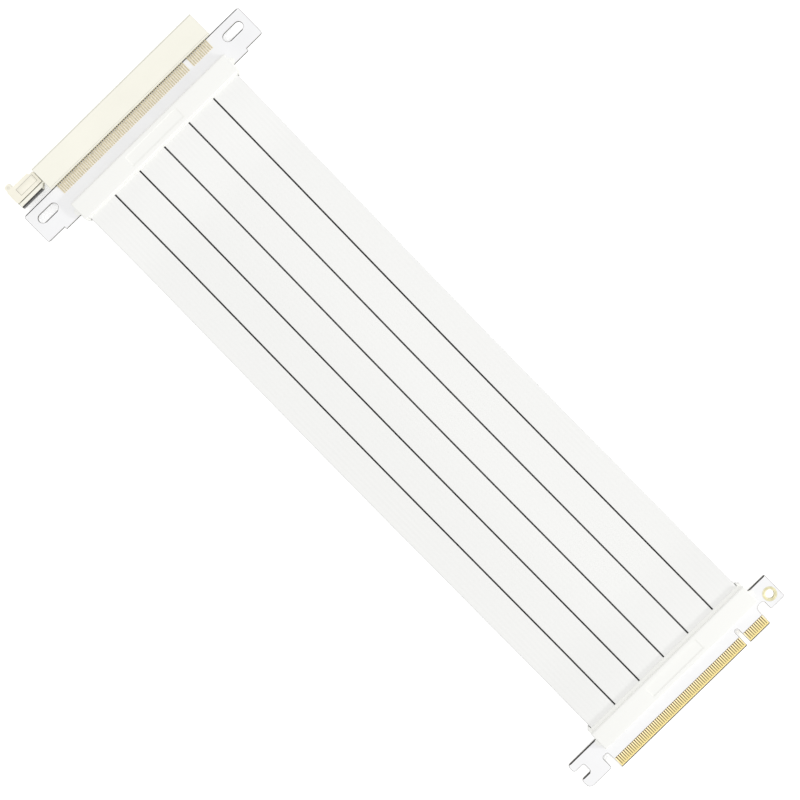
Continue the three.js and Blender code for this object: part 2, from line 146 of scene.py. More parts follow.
class RiserSizes(bpy.types.PropertyGroup):
    # Reach of the near-black fins that paint shade into the gaps between ribbons
    gap_shade_reach: length("Ribbon gap shade", "Reach of the near-black painted gap shade at each side of a ribbon", 0.31)
    ribbon_ridge: length("Ribbon ridge", "Height of the ridge over each wire pair", 0.03)
    ribbon_bow: length("Ribbon bow", "How far the ribbons bow sideways, halfway along", 0.5)
    ribbon_corner: length("Ribbon corner", "Radius along a ribbon's edges", 0.14)
    mould_rounding: length("Overmould rounding", "Radius along an overmould's edges", 0.55)
    panel_sunk: length("Panel depth", "Depth of the sunken panel on an overmould", 0.3)
    socket_lip: length("Socket lip", "Reach of the slot overmould's lip over the ribbons", 0.8)
    plug_lip: length("Plug lip", "Reach of the plug overmould's lip over the ribbons", 1.55)
    leg_width: length("Leg width", "Width of a contact leg", 0.46)
    leg_thickness: length("Leg thickness", "Thickness of a contact leg", 0.22)
    pad_width: length("Pad width", "Width of the pad under a contact leg", 0.86)
    finger_width: length("Finger width", "Width of a gold finger", 0.6)
    finger_height: length("Finger height", "How far a gold finger stands off the board", 0.08)
    housing_edge: length("Housing edge", "Rounding of the slot housing's edges", 0.16)
    latch_edge: length("Latch edge", "Rounding of the latch's edges", 0.2)
    board_rim: length("Board rim", "Width of bare laminate along a board's edges", 0.14)
    # Painted shade: the near-black band along walls that face the slot's mouth
    shaded_rim: length("Shaded rim", "Further width of it along edges that face the slot's mouth", 0.3)
    anchor_radius: length("Anchor radius", "Radius of the discs that close the anchor holes", 1.62)


class RiserColours(bpy.types.PropertyGroup):
    housing: colour("Housing", "Ivory plastic of the slot housing", "FBF9EC")
    latch: colour("Latch", "Warmer plastic of the latch", "FCF8E8")
    jacket: colour("Ribbon", "White jacket of the ribbons", "F6F6F4")
    # Near-black painted shade of the gaps between ribbons
    margin: colour("Ribbon gap shade", "Near-black painted shade of the gaps at the ribbons' sides", "0C0C0A")
    mask: colour("Board", "White lacquer of the boards", "F7F7F8")
    # Bare laminate in a grey darker than its own: partly the laminate, partly painted shade that
    # outlines the boards
    laminate: colour("Board edge", "Cut edge of the boards", "6E6A61")
    mould: colour("Overmould", "Warm white of the strain reliefs", "F5F4ED")
    gold: colour("Gold", "Plating of the fingers", "EFDC98")
    pale_gold: colour("Pale gold", "Plating on the leg pads", "FDF4E0")
    finger_root: colour("Finger roots", "Paler plating at the fingers' roots", "F5E3B6")
    ring: colour("Ring", "Plating round the plug board's hole", "F2EBC2")
    legs: colour("Legs", "Tinned brass of the contact legs", "CFC5A6")
    gap: colour("Finger gaps", "Bare laminate between the fingers", "3A2600")
    copper: colour("Wires", "Bare copper of the wire ends", "C98A56")
    # The pin's steel; darkened, it also gives the painted shade strip on the latch arm
    steel: colour("Steel", "Latch pin, and darkened the painted shade strip along the latch arm", "B8B8B4")


class RiserStage(bpy.types.PropertyGroup):
    sky: FloatProperty(name="Sky", description="Light from all round", default=0.77, min=0, max=2)
    key: FloatProperty(
        name="Key lamp", description="Power of the lamp beyond the plug's key side", default=25.0,
        min=0, max=200, subtype="POWER", unit="POWER",
    )
    top: FloatProperty(
        name="Top lamp", description="Power of the lamp overhead", default=15.0,
        min=0, max=200, subtype="POWER", unit="POWER",
    )
    floor: colour("Floor", "Pale floor", "F2F2F2")


# Shapes

def closed_bodies(rings, tags=None, cap_tag=0, wrap=False):
    """Closed bodies through rings[body, section, around] of points. A side face joins two
    neighbours around with the same two on the next section, and one face closes each end, or the
    last section joins the first where wrap is set. The faces of a body whose signed volume, a sixth
    of the sum of a . (b x c) over its triangles, is negative are turned round, so all face out."""
    count, sections, around, _ = rings.shape
    index = np.arange(count * sections * around).reshape(count, sections, around)
    beside = np.roll(index, -1, axis=2)
    after, both = (np.roll(i, -1, axis=1) for i in (index, beside))
    spans = sections if wrap else sections - 1
    sides = np.stack([i[:, :spans] for i in (index, beside, both, after)], -1).reshape(count, -1, 4)
    face_tags = np.tile(np.zeros(around, int) if tags is None else tags, count * spans)
    points = rings.reshape(-1, 3)
    centred = (rings - rings.mean(axis=(1, 2), keepdims=True)).reshape(-1, 3)
    a, b, c, d = (centred[sides[..., i]] for i in range(4))
    volume = np.sum(a * (np.cross(b, c) + np.cross(c, d)), axis=(1, 2))
    caps = np.zeros((count, 0, around), int)
    if not wrap:
        caps = np.stack([index[:, 0, ::-1], index[:, -1]], 1)
        first, others, nexts = centred[caps[..., :1]], centred[caps[..., 1:-1]], centred[caps[..., 2:]]
        volume += np.sum(first * np.cross(others, nexts), axis=(1, 2, 3))
        face_tags = np.concatenate([face_tags, np.full(2 * count, cap_tag)])
    inside_out = volume < 0
    sides[inside_out] = sides[inside_out][..., ::-1]
    caps[inside_out] = caps[inside_out][..., ::-1]
    faces = sides.reshape(-1, 4).tolist() + caps.reshape(-1, around).tolist()
    return points, faces, face_tags


def gather(*parts):
    """Several results of closed_bodies as one: points in a row, and faces counted on from there."""
    points, faces, tags, start = [], [], [], 0
    for some_points, some_faces, some_tags in parts:
        points.append(some_points)
        faces += [[start + i for i in face] for face in some_faces]
        tags.append(some_tags)
        start += len(some_points)
    return np.concatenate(points), faces, np.concatenate(tags)


def corner_normals(outline):
    """At each corner of a closed outline, the step that moves both of its sides outwards by one:
    the sum of the two sides' normals divided by one plus their product."""
    ahead = np.roll(outline, -1, axis=0) - outline
    ahead /= np.linalg.norm(ahead, axis=1, keepdims=True)
    back = np.roll(ahead, 1, axis=0)
    x, y = outline.T
    side = np.sign(np.sum(x * np.roll(y, -1) - y * np.roll(x, -1)))
    first = side * np.stack([back[:, 1], -back[:, 0]], 1)
    second = side * np.stack([ahead[:, 1], -ahead[:, 0]], 1)
    return (first + second) / (1 + np.sum(first * second, axis=1, keepdims=True))


def slabs(outline, levels, insets, places=((0, 0),), side_tag=0):
    """One flat body for each place: the outline in X and Y, moved to the place and drawn again at
    each level of z, inside itself by that level's inset. The sides take the tag."""
    flat = outline - np.array(insets)[:, None, None] * corner_normals(outline)
    rings = np.zeros((len(places), len(levels), len(outline), 3))
    rings[..., :2] = flat + np.array(places)[:, None, None]
    rings[..., 2] = np.array(levels)[:, None]
    return closed_bodies(rings, np.full(len(outline), side_tag))


def oblong(x1, x2, y1, y2):
    """The corners of a rectangle between two places in X and two in Y."""
    return np.array([[x1, y1], [x2, y1], [x2, y2], [x1, y2]])


def rounded_box(size_x, size_y, radius, steps=3):
    """The corners of a rectangle about the origin, each a quarter circle of a few steps."""
    turns = np.linspace(0, math.pi / 2, steps)
    quarters = []
    for i, (sx, sy) in enumerate(((1, 1), (-1, 1), (-1, -1), (1, -1))):
        angle = turns + i * math.pi / 2
        centre = np.array([sx * (size_x / 2 - radius), sy * (size_y / 2 - radius)])
        quarters.append(centre + radius * np.stack([np.cos(angle), np.sin(angle)], 1))
    return np.concatenate(quarters)


def circle(radius, steps=28):
    """Points evenly round a circle about the origin."""
    angle = np.linspace(0, 2 * math.pi, steps, endpoint=False)
    return radius * np.stack([np.cos(angle), np.sin(angle)], 1)


def rounded_bar(x1, x2, z1, z2, half, radius, panel=None):
    """A bar along Y with all its edges rounded. Its section is a rectangle in X and Z with quarter
    circles at the corners. Towards each end it shrinks along its normals by radius * (1 - cos t)
    while y runs on by radius * sin t. A panel (x, width, length, depth) is let into its top, where
    z falls by the depth times two ramps, one across and one along."""
    turns = np.linspace(0, math.pi / 2, 6)
    corners = []
    for i, (x, z) in enumerate(((x2, z2), (x1, z2), (x1, z1), (x2, z1))):
        angle = turns + i * math.pi / 2
        normal = np.stack([np.cos(angle), np.sin(angle)], 1)
        inner = np.array([x + (-1, 1, 1, -1)[i] * radius, z + (-1, -1, 1, 1)[i] * radius])
        corners.append(np.concatenate([inner + radius * normal, normal], 1))
    across = np.linspace(x2 - radius, x1 + radius, 8)[1:-1]
    wall = 0.05 * MM
    if panel:
        panel_x, panel_width, panel_length, panel_depth = panel
        edges = np.array([1, -1])[:, None] * (panel_width / 2 + wall * np.array([0.5, -0.5]))
        across = panel_x + edges.ravel()[[0, 1, 3, 2]]
    top = np.stack([across, np.full_like(across, z2), 0 * across, 0 * across + 1], 1)
    section = np.concatenate([corners[0], top, *corners[1:]])
    points, normals = section[:, :2], section[:, 2:]
    # The last turn stops a little short, which leaves a flat end
    end_turns = np.linspace(math.pi / 2, 0, 6) * 0.98
    end_y = half - radius + radius * np.sin(end_turns)
    end_inset = radius * (1 - np.cos(end_turns))
    middle_y = np.linspace(half - radius, radius - half, 12)[1:-1]
    if panel:
        outer, inner = panel_length / 2 + wall / 2, panel_length / 2 - wall / 2
        middle_y = np.array([outer, inner, 0, -inner, -outer])
    y = np.concatenate([end_y, middle_y, -end_y[::-1]])
    inset = np.concatenate([end_inset, 0 * middle_y, end_inset[::-1]])
    flat = points[None] - inset[:, None, None] * normals[None]
    rings = np.stack([flat[..., 0], np.broadcast_to(y[:, None], flat.shape[:2]), flat[..., 1]], -1)
    if panel:
        ramp_x = np.clip((panel_width / 2 - np.abs(rings[..., 0] - panel_x)) / wall + 0.5, 0, 1)
        ramp_y = np.clip((panel_length / 2 - np.abs(rings[..., 1])) / wall + 0.5, 0, 1)
        upper_side = normals[:, 1] > 0.99
        rings[..., 2] -= panel_depth * ramp_x * ramp_y * upper_side
    return closed_bodies(rings[None])


def strips(way, places, widths, thickness):
    """One bent strip for each y in places. Way is a line in X and Z; the strip's section is a
    rectangle whose upper and lower sides lie half the thickness from the line along its normal."""
    along = np.gradient(way, axis=0)
    along /= np.linalg.norm(along, axis=1, keepdims=True)
    normal = np.stack([-along[:, 1], along[:, 0]], 1) * thickness / 2
    corners = np.array([[1, 1], [1, -1], [-1, -1], [-1, 1]])
    rings = np.zeros((len(places), len(way), 4, 3))
    flat = way[:, None, :] + corners[None, :, 0, None] * normal[:, None, :]
    rings[..., 0], rings[..., 2] = flat[..., 0], flat[..., 1]
    rings[..., 1] = places[:, None, None] + corners[:, 1] * widths[:, None] / 2
    return closed_bodies(rings)


def ribbon_line(x):
    """Height of the line midway between the two layers at each x. It passes through the points of
    the fall and the rests as a cubic from point to point, whose slope at a point is the harmonic
    mean of its neighbours' slopes, or level where one of them is."""
    fall, share = RIBBON_FALL.T
    fall = fall * MM
    socket_drop, plug_drop = SOCKET_MIDDLE - RIBBON_FLOOR, PLUG_MIDDLE - RIBBON_FLOOR
    way_x = np.concatenate([
        [RIBBON_START], SOCKET_FACE + fall, SOCKET_FACE + RIBBON_RESTS, (PLUG_FACE - fall)[::-1],
        [RIBBON_END],
    ])
    way_z = RIBBON_FLOOR + np.concatenate([
        [socket_drop], share * socket_drop, 0 * RIBBON_RESTS, (share * plug_drop)[::-1], [plug_drop],
    ])
    step = np.diff(way_x)
    slope = np.diff(way_z) / step
    before, after = slope[:-1], slope[1:]
    level = before * after <= 0
    mean = 2 * before * after / np.where(level, 1, before + after)
    tangent = np.concatenate([[0], np.where(level, 0, mean), [0]])
    i = np.clip(np.searchsorted(way_x, x) - 1, 0, len(step) - 1)
    t = (x - way_x[i]) / step[i]
    return (
        way_z[i] * (1 + 2 * t) * (1 - t) ** 2 + way_z[i + 1] * t ** 2 * (3 - 2 * t)
        + step[i] * t * (1 - t) * (tangent[i] * (1 - t) - tangent[i + 1] * t)
    )


def ribbon_section(width, sizes, plain=0):
    """Across and up for each point round a ribbon: faces with low ridges, each a cosine's wave from
    trough to trough, quarter-circle corners, and a thin fin that stands out at each side. The
    tags are 1 for the near-black side and fin, painted shade of the gap between two ribbons, and 0
    for the jacket. Plain is 1 or -1 where the side to that end is the cable's own side, whose fin
    hardly stands out and which has the tag 2, a grey painted shade."""
    half, corner = RIBBON_THICKNESS / 2, sizes.ribbon_corner
    inner = width / 2 - corner
    across = np.linspace(-inner, inner, 6 * RIDGES + 1)
    wave = np.cos(2 * RIDGES * math.pi * (across / (2 * inner) + 0.5))
    face = half - sizes.ribbon_ridge * (1 + wave) / 2
    turns = np.linspace(0, math.pi / 2, 4)[1:]
    low = half - sizes.ribbon_ridge
    right_x = inner + corner * np.sin(turns)
    right_z = low - corner * (1 - np.cos(turns))
    thin = 0.1 * MM
    reach = sizes.gap_shade_reach * np.array([0, 1, 1, 0])
    edge_x = width / 2 + reach * (OUTER_GAP_SHADE if plain == 1 else 1)
    other_x = width / 2 + reach * (OUTER_GAP_SHADE if plain == -1 else 1)
    edge_z = np.array([thin, thin * 0.6, -thin * 0.6, -thin])
    x = np.concatenate([
        across, right_x, edge_x, right_x[::-1], across[::-1], -right_x, -other_x, -right_x[::-1],
    ])
    z = np.concatenate([
        face, right_z, edge_z, -right_z[::-1], -face[::-1], -right_z, -edge_z, right_z[::-1],
    ])
    tags = np.zeros(len(x), int)
    # A side is the six faces from the end of the upper corner on
    first, half_way = len(across) + 2, len(x) // 2
    for start, end in ((first, 1), (half_way + first, -1)):
        tags[start:start + 6] = 2 if plain == end else 1
    return x, z, tags


def contact_places():
    """The contacts' places along Y: eleven, then seventy-one a key's step further on."""
    span = (CONTACTS_BEFORE_KEY + CONTACTS_AFTER_KEY - 2) * CONTACT_PITCH + KEY_STEP
    first = span / 2 - CONTACT_PITCH * np.arange(CONTACTS_BEFORE_KEY)
    second = first[-1] - KEY_STEP - CONTACT_PITCH * np.arange(CONTACTS_AFTER_KEY)
    return first, second


# Finishes

def join(tree, *pairs):
    """Links each output to its input."""
    for source, target in pairs:
        tree.links.new(source, target)


def add_nodes(tree, *kinds):
    return [tree.nodes.new(f"ShaderNode{kind}") for kind in kinds]


def fill(node, values):
    """Sets a node's inputs by their labels or numbers."""
    for label, value in values.items():
        node.inputs[label].default_value = value
    return node


def node_group(name, inputs, outputs):
    group = bpy.data.node_groups.new(name, "ShaderNodeTree")
    for label, kind, value in inputs:
        socket = group.interface.new_socket(label, in_out="INPUT", socket_type=f"NodeSocket{kind}")
        socket.default_value = value
    for label, kind in outputs:
        group.interface.new_socket(label, in_out="OUTPUT", socket_type=f"NodeSocket{kind}")
    return group, group.nodes.new("NodeGroupInput"), group.nodes.new("NodeGroupOutput")


def surface_grain():
    """Fine and broad noise on object coordinates: a height for bumps and a mask of broad patches."""
    group, given, result = node_group(
        "surface grain",
        [("Stretch", "Vector", (1, 1, 1)), ("Grain", "Float", 4000.0), ("Patches", "Float", 60.0)],
        [("Height", "Float"), ("Patch mask", "Float")],
    )
    place, stretch, fine, broad, spread = add_nodes(
        group, "TexCoord", "VectorMath", "TexNoise", "TexNoise", "MapRange",
    )
    stretch.operation = "MULTIPLY"
    fill(fine, {"Detail": 3})
    fill(broad, {"Detail": 2})
    fill(spread, {"From Min": 0.3, "From Max": 0.7})
    join(
        group,
        (place.outputs["Object"], stretch.inputs[0]), (given.outputs["Stretch"], stretch.inputs[1]),
        (stretch.outputs[0], fine.inputs["Vector"]), (given.outputs["Grain"], fine.inputs["Scale"]),
        (stretch.outputs[0], broad.inputs["Vector"]), (given.outputs["Patches"], broad.inputs["Scale"]),
        (fine.outputs["Fac"], result.inputs["Height"]), (broad.outputs["Fac"], spread.inputs["Value"]),
        (spread.outputs["Result"], result.inputs["Patch mask"]),
    )
    return group


def aged_tone():
    """Mixes a finish's colour towards a second one where a mask is high, and moves the roughness."""
    group, given, result = node_group(
        "aged tone",
        [
            ("Mask", "Float", 0.5), ("Colour", "Color", (1, 1, 1, 1)),
            ("Aged colour", "Color", (1, 1, 1, 1)), ("Smooth", "Float", 0.4), ("Rough", "Float", 0.5),
        ],
        [("Colour", "Color"), ("Roughness", "Float")],
    )
    mix, rough = add_nodes(group, "Mix", "MapRange")
    mix.data_type = "RGBA"
    # Inputs 6 and 7 and output 2 are the mix node's colours
    join(
        group,
        (given.outputs["Mask"], mix.inputs["Factor"]), (given.outputs["Colour"], mix.inputs[6]),
        (given.outputs["Aged colour"], mix.inputs[7]), (mix.outputs[2], result.inputs["Colour"]),
        (given.outputs["Mask"], rough.inputs["Value"]),
        (given.outputs["Smooth"], rough.inputs["To Min"]),
        (given.outputs["Rough"], rough.inputs["To Max"]),
        (rough.outputs["Result"], result.inputs["Roughness"]),
    )
    return group


def end_fade():
    """A mask that runs from 0 at one x to 1 at another."""
    group, given, result = node_group(
        "end fade", [("From", "Float", 0.0), ("To", "Float", 1.0)], [("Mask", "Float")],
    )
    place, parts, ramp = add_nodes(group, "TexCoord", "SeparateXYZ", "MapRange")
    join(
        group,
        (place.outputs["Object"], parts.inputs[0]), (parts.outputs["X"], ramp.inputs["Value"]),
        (given.outputs["From"], ramp.inputs["From Min"]),
        (given.outputs["To"], ramp.inputs["From Max"]),
        (ramp.outputs["Result"], result.inputs["Mask"]),
    )
    return group


def place_group(nodes, name, build, values):
    """Adds a shared group to a material's nodes, with the material's own values."""
    node = nodes.new("ShaderNodeGroup")
    node.node_tree = bpy.data.node_groups.get(name) or build()
    return fill(node, values)


def darker(tone, share):
    return tuple(part * share for part in tone)


def finish(
    name, tone, shares, rough, grain=4000.0, depth=0.1, patches=60.0, stretch=(1, 1, 1),
    metallic=0.0, coat=0.0, fade=None,
):
    """A material of the shared grain and tone groups. It has the first share of the tone's light and
    the first roughness, and in its broad patches the second ones. With fade, two places in X and a
    tone, it turns into that tone from the first place to the second and not in patches."""
    material = bpy.data.materials.get(name)
    if material:
        return material
    material = bpy.data.materials.new(name)
    material.use_nodes = True
    nodes = material.node_tree.nodes
    shader = fill(nodes["Principled BSDF"], {
        "Metallic": metallic, "Coat Weight": coat, "Coat Roughness": 0.15,
    })
    texture = place_group(
        nodes, "surface grain", surface_grain, {"Stretch": stretch, "Grain": grain, "Patches": patches},
    )
    plain, aged = (darker(tone, share) for share in shares)
    mask = texture.outputs["Patch mask"]
    if fade:
        start, end, aged = fade
        mask = place_group(nodes, "end fade", end_fade, {"From": start, "To": end}).outputs["Mask"]
    tones = place_group(nodes, "aged tone", aged_tone, {
        "Colour": (*plain, 1), "Aged colour": (*aged, 1), "Smooth": rough[0], "Rough": rough[1],
    })
    bump = fill(nodes.new("ShaderNodeBump"), {"Strength": depth, "Distance": 0.05 * MM})
    join(
        material.node_tree, (mask, tones.inputs["Mask"]),
        (tones.outputs["Colour"], shader.inputs["Base Color"]),
        (tones.outputs["Roughness"], shader.inputs["Roughness"]),
        (texture.outputs["Height"], bump.inputs["Height"]),
        (bump.outputs["Normal"], shader.inputs["Normal"]),
    )
    return material


def give(node, material):
    """Puts a material on a CAD node."""
    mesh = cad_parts[node].data
    mesh.materials.clear()
    mesh.materials.append(material)


# Pieces

def make_piece(name, shape, materials, body="riser"):
    """A mesh object of the points, faces and tags of a shape, at the origin, smooth but for edges
    sharper than the crease, riding on a body."""
    points, faces, tags = shape
    mesh = bpy.data.meshes.new(name)
    mesh.from_pydata(points.tolist(), [], faces)
    for material in materials:
        mesh.materials.append(material)
    mesh.polygons.foreach_set("material_index", np.asarray(tags, np.int32))
    return show_piece(name, mesh, body, CREASE)


def show_piece(name, mesh, body, crease):
    mesh.polygons.foreach_set("use_smooth", np.ones(len(mesh.polygons), bool))
    mesh.set_sharp_from_angle(angle=math.radians(crease))
    mesh.update()
    piece = bpy.data.objects.new(name, mesh)
    bpy.context.scene.collection.objects.link(piece)
    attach(piece, body)
    return piece


def lies_flat(face):
    return abs(face.normal.z) > 0.9


def cut_rims(work, rim, shade_rim):
    """Gives the upper and lower faces better triangles and cuts a band of the rim's width in round
    them, which leaves walls and band in the second material. Along a broad wall that faces -X, away
    from the key lamp, the band is wider by shade_rim and takes the third, a near-black painted shade."""
    for face in work.faces:
        face.material_index = 0 if lies_flat(face) else 1
    broad = 2 * MM * MM
    walls = {
        edge: face for face in work.faces if not lies_flat(face) and face.calc_area() > broad
        for edge in face.edges
    }
    inner = [
        edge for edge in work.edges
        if len(edge.link_faces) == 2 and all(lies_flat(face) for face in edge.link_faces)
    ]
    flats = [face for face in work.faces if lies_flat(face)]
    bmesh.ops.beautify_fill(work, faces=flats, edges=inner)
    flats = [face for face in work.faces if lies_flat(face)]
    band = bmesh.ops.inset_region(work, faces=flats, thickness=rim, use_even_offset=True)["faces"]
    shaded = set()
    for face in band:
        wall = next((walls[edge] for edge in face.edges if edge in walls), None)
        in_shade = wall is not None and wall.normal.x < -0.9
        face.material_index = 2 if in_shade else 1
        if in_shade:
            shaded.update(vert for vert in face.verts if vert not in wall.verts)
    for vert in shaded:
        vert.co.x += shade_rim


def dressed_copy(name, node, materials, body="riser", rim=None, shade_rim=0):
    """A CAD node's own shape in new finishes: the copy's loose triangles are merged. With rim, bands
    are cut into its flat faces. Without it, flat neighbours become one face."""
    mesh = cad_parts[node].data.copy()
    mesh.name = name
    work = bmesh.new()
    work.from_mesh(mesh)
    bmesh.ops.remove_doubles(work, verts=work.verts, dist=0.002 * MM)
    if rim:
        cut_rims(work, rim, shade_rim)
    else:
        bmesh.ops.dissolve_limit(
            work, angle_limit=math.radians(1), use_dissolve_boundaries=False, verts=work.verts,
            edges=work.edges, delimit=set(),
        )
    mesh.materials.clear()
    for material in materials:
        mesh.materials.append(material)
    work.to_mesh(mesh)
    work.free()
    if "custom_normal" in mesh.attributes:
        mesh.attributes.remove(mesh.attributes["custom_normal"])
    piece = show_piece(name, mesh, body, 0 if rim else CREASE)
    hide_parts(node)
    return piece


def eased_copy(name, node, edge, materials, body="riser", clamped=False):
    """A CAD node's own shape with its sharp edges taken off by a bevel in the second material, a
    darker copy of the first as painted shade along the edges. The bevel is held to half the shortest
    side where clamped is set."""
    piece = dressed_copy(name, node, materials, body)
    bevel = piece.modifiers.new("eased edges", "BEVEL")
    bevel.width = edge
    bevel.segments = 2
    bevel.limit_method = "ANGLE"
    bevel.angle_limit = math.radians(CREASE)
    bevel.use_clamp_overlap = clamped
    bevel.harden_normals = True
    bevel.material = 1


class RISER_OT_camera(bpy.types.Operator):
    """Look down on the whole cable, turned so that it runs from the top left to the bottom right"""
    bl_idname = "riser.camera"
    bl_label = "Camera"

    def execute(self, context):
        data = bpy.data.cameras.new("view from above")
        data.lens = VIEW_LENS
        data.clip_start, data.clip_end = 0.01, 100
        camera = bpy.data.objects.new("view from above", data)
        camera.location = VIEW_PLACE
        camera.rotation_euler = [math.radians(turn) for turn in VIEW_TURNS]
        context.scene.collection.objects.link(camera)
        context.scene.camera = camera
        return {"FINISHED"}


class RISER_OT_ribbons(bpy.types.Operator):
    """Lay the twelve flat ribbons from the slot's overmould over the surface to the plug's"""
    bl_idname = "riser.ribbons"
    bl_label = "Ribbons"

    def execute(self, context):
        sizes, tones = context.scene.riser_sizes, context.scene.riser_colours
        jacket = finish(
            "ribbon jacket", tones.jacket, (1, 0.975), (0.42, 0.52), grain=900, depth=0.06, patches=14,
            stretch=(0.12, 1, 1),
        )
        # Near-black painted shade of the gaps between ribbons, on the fins, the inner sides and the
        # hidden ends
        margin = finish(
            "ribbon gap painted shade", tones.margin, (1, 0.5), (0.5, 0.65), grain=2500, stretch=(0.1, 1, 1),
        )
        # Grey painted shade on the outer sides of the outermost ribbons: a darkened copy of the jacket
        side_shade = finish(
            "ribbon side painted shade", tones.jacket, (0.42, 0.34), (0.5, 0.6), grain=2500, stretch=(0.1, 1, 1),
        )
        # The sections lie closer where the ribbons bend
        bends = 40 * MM
        x = np.concatenate([
            np.linspace(RIBBON_START, SOCKET_FACE + bends, 42, endpoint=False),
            np.linspace(SOCKET_FACE + bends, PLUG_FACE - bends, 26, endpoint=False),
            np.linspace(PLUG_FACE - bends, RIBBON_END, 42),
        ])
        line = ribbon_line(x)
        along = (x - RIBBON_START) / (RIBBON_END - RIBBON_START)
        bow = sizes.ribbon_bow * np.sin(math.pi * along) ** 2
        for layer, side in LAYERS:
            height = line + side * LAYER_OFFSET
            for number in range(1, RIBBONS + 1):
                node = f"{layer}_ribbon_{number}"
                low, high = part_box(node)
                width, y = high.y - low.y, (low.y + high.y) / 2
                across, up, tags = ribbon_section(width, sizes, OUTERMOST.get(number, 0))
                middle = y - bow
                rings = np.zeros((1, len(x), len(across), 3))
                rings[0, ..., 0] = x[:, None]
                rings[0, ..., 1] = middle[:, None] + across
                rings[0, ..., 2] = height[:, None] + up
                piece = make_piece(
                    f"{layer}_flat_ribbon_{number}", closed_bodies(rings, tags, 1),
                    [jacket, margin, side_shade],
                )
                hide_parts(node)
        return {"FINISHED"}


class RISER_OT_housing(bpy.types.Operator):
    """Finish the ivory slot housing, with a near-black strip of painted shade along the inner side of
    its arm
    """
    bl_idname = "riser.housing"
    bl_label = "Slot housing"

    def execute(self, context):
        sizes, tones = context.scene.riser_sizes, context.scene.riser_colours
        ivory = finish(
            "ivory plastic", tones.housing, (1, 0.97), (0.42, 0.52), grain=2600, depth=0.12, patches=45,
        )
        # Darker copy of the ivory on the bevels: painted shade along the housing's edges
        edge = finish(
            "ivory painted edge shade", tones.housing, (0.8, 0.7), (0.5, 0.6), grain=2600, depth=0.12, patches=200,
        )
        dark = finish(
            "arm painted shade", tones.steel, (0.1, 0.06), (0.35, 0.5), grain=3000, depth=0.05, metallic=0.6,
        )
        eased_copy(
            "slot_housing_moulding", "slot_housing", sizes.housing_edge, [ivory, edge],
        )
        # A thin near-black strip on the arm's wall: painted shade, standing in for no real spring
        low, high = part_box("slot_latch")
        right = MOUTH + 8.72 * MM
        left = right - 0.62 * MM
        tip, skew, foot = -46.5 * MM, 0.3 * MM, -57.7 * MM
        shade_strip = np.array([[left, tip], [right, tip - skew], [right, foot], [left, foot]])
        levels = [low.z - 0.03 * MM, low.z + 0.1 * MM, high.z, high.z + 0.05 * MM]
        insets = np.array([0.05, 0, 0, 0.05]) * MM
        make_piece("latch_arm_painted_shade", slabs(shade_strip, levels, insets), [dark])
        return {"FINISHED"}


class RISER_OT_latch(bpy.types.Operator):
    """Finish the latch, with the raised land on its lever and the gate mark on its tab"""
    bl_idname = "riser.latch"
    bl_label = "Latch"

    def execute(self, context):
        sizes, tones = context.scene.riser_sizes, context.scene.riser_colours
        cream = finish("latch plastic", tones.latch, (1, 0.95), (0.38, 0.5), grain=2600, patches=120)
        # Darker copy of the latch's plastic on its bevels and the land's sides: painted shade along the
        # edges
        edge = finish("latch painted edge shade", tones.latch, (0.66, 0.5), (0.5, 0.6), grain=2600, patches=200)
        mark = finish(
            "gate mark", tones.latch, (0.9, 0.82), (0.5, 0.6), grain=3500, depth=0.2, patches=300,
        )
        steel = finish(
            "pin steel", tones.steel, (1, 0.8), (0.25, 0.4), grain=5000, depth=0.05, metallic=1,
        )
        eased_copy(
            "slot_latch_moulding", "slot_latch", sizes.latch_edge, [cream, edge], body="latch",
            clamped=True,
        )
        low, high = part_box("slot_latch")
        land = oblong(1.35 * MM, 4.7 * MM, -1 * MM, -10 * MM) + [MOUTH, high.y]
        levels = high.z + np.array([-0.1, 0, 0.14]) * MM
        make_piece(
            "latch_land", slabs(land, levels, np.array([0, 0, 0.2]) * MM, side_tag=1), [cream, edge],
            body="latch",
        )
        disc = circle(0.75 * MM) + [MOUTH - 1.2 * MM, low.y + 1.9 * MM]
        levels = high.z + np.array([-0.1, 0, 0.03]) * MM
        make_piece(
            "latch_gate_mark", slabs(disc, levels, np.array([0, 0, 0.1]) * MM), [mark],
            body="latch",
        )
        give("latch_pin", steel)
        return {"FINISHED"}


